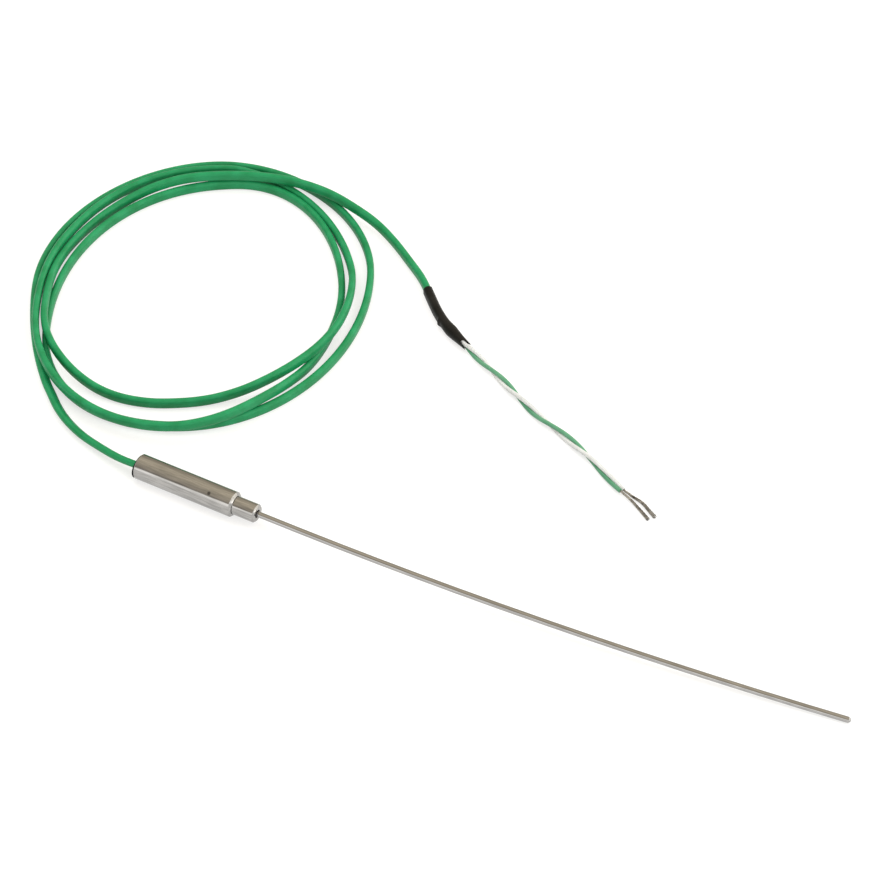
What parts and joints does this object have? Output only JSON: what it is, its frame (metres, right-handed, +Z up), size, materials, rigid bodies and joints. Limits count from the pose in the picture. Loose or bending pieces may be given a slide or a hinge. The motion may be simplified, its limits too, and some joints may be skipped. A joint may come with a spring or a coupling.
{
  "type": "thermocouple probe",
  "caption": "Thin metal-sheathed thermocouple probe with a stepped steel pot and a coiled green flat lead with bare tails.",
  "frame": {"origin": "on the floor, under the middle of the box round the sheath and pot (the lead left out)", "axes": "+X along the pot towards the sheath's tip, +Z up from the floor, +Y to the side the sheath bows to"},
  "size_m": [0.248, 0.1154, 0.0064],
  "materials": {
    "pot_steel": "fine turned stainless steel",
    "sheath_alloy": "drawn alloy tube, satin",
    "mineral_powder": "packed white mineral powder",
    "thermo_alloy": "drawn alloy wire",
    "braze_alloy": "dull solidified braze",
    "potting_resin": "cast resin, matt",
    "black_rubber": "matt black",
    "green_jacket": "satin extruded plastic",
    "black_sleeve": "shrunk satin black",
    "green_core": "smooth extruded plastic",
    "white_core": "smooth, slightly see-through plastic",
    "bare_wire": "twisted dull alloy strands",
    "crimp_metal": "plain tube crimp"
  },
  "bodies": {
    "root": {"pot_body": "pot_steel", "sheath": "sheath_alloy", "mgo_insulation": "mineral_powder", "thermoelement_positive": "thermo_alloy", "thermoelement_negative": "thermo_alloy", "hot_junction": "thermo_alloy", "mi_end_seal": "potting_resin", "braze_ring": "braze_alloy", "potting": "potting_resin", "end_seal": "black_rubber", "pot_core_green": "green_core", "pot_core_white": "white_core", "pot_conductor_positive": "bare_wire", "pot_conductor_negative": "bare_wire", "splice_positive": "crimp_metal", "splice_negative": "crimp_metal", "lead_start": "green_jacket", "lead_coil": "green_jacket", "lead_tail": "green_jacket", "shrink_sleeve": "black_sleeve", "core_green": "green_core", "core_white": "white_core", "conductor_positive": "bare_wire", "conductor_negative": "bare_wire"}
  },
  "joints": []
}
